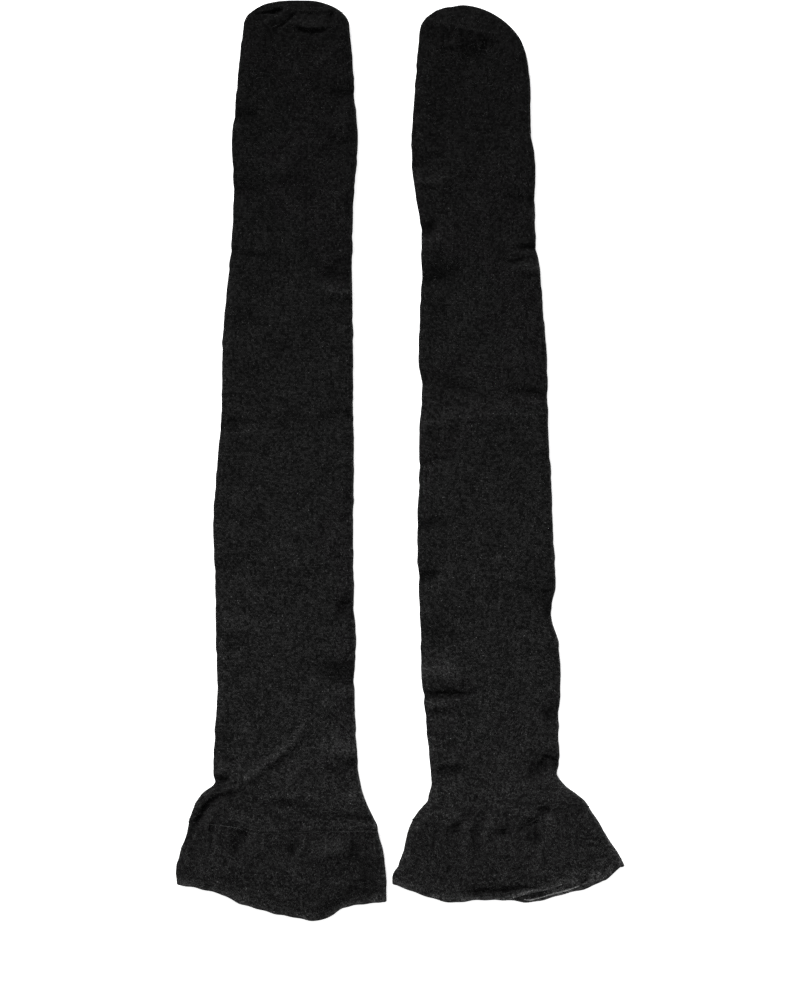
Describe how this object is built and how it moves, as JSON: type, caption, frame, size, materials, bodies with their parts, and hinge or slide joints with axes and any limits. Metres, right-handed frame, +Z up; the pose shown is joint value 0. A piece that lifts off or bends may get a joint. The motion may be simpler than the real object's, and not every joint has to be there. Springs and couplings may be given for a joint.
{
  "type": "pair of knee-high socks",
  "caption": "Pair of long dark wool knee-high socks lying flat side by side, each a knitted tube with a rounded linked toe and a deep flared cuff sewn on at a gathered seam.",
  "frame": {"origin": "centre of the pair's box, on the surface that the socks lie on", "axes": "+Y along the socks from the cuffs to the toes, +X from the left sock to the right sock seen from above, +Z up from the surface"},
  "size_m": [0.3136, 0.6434, 0.0069],
  "materials": {
    "leg_wool": "very dark charcoal melange fine wool jersey, matt with a soft nap",
    "cuff_wool": "the same dark charcoal wool jersey turned double, matt with a soft nap"
  },
  "bodies": {
    "root": {"sock_left": "leg_wool", "cuff_left": "cuff_wool", "sock_right": "leg_wool", "cuff_right": "cuff_wool"}
  },
  "joints": []
}
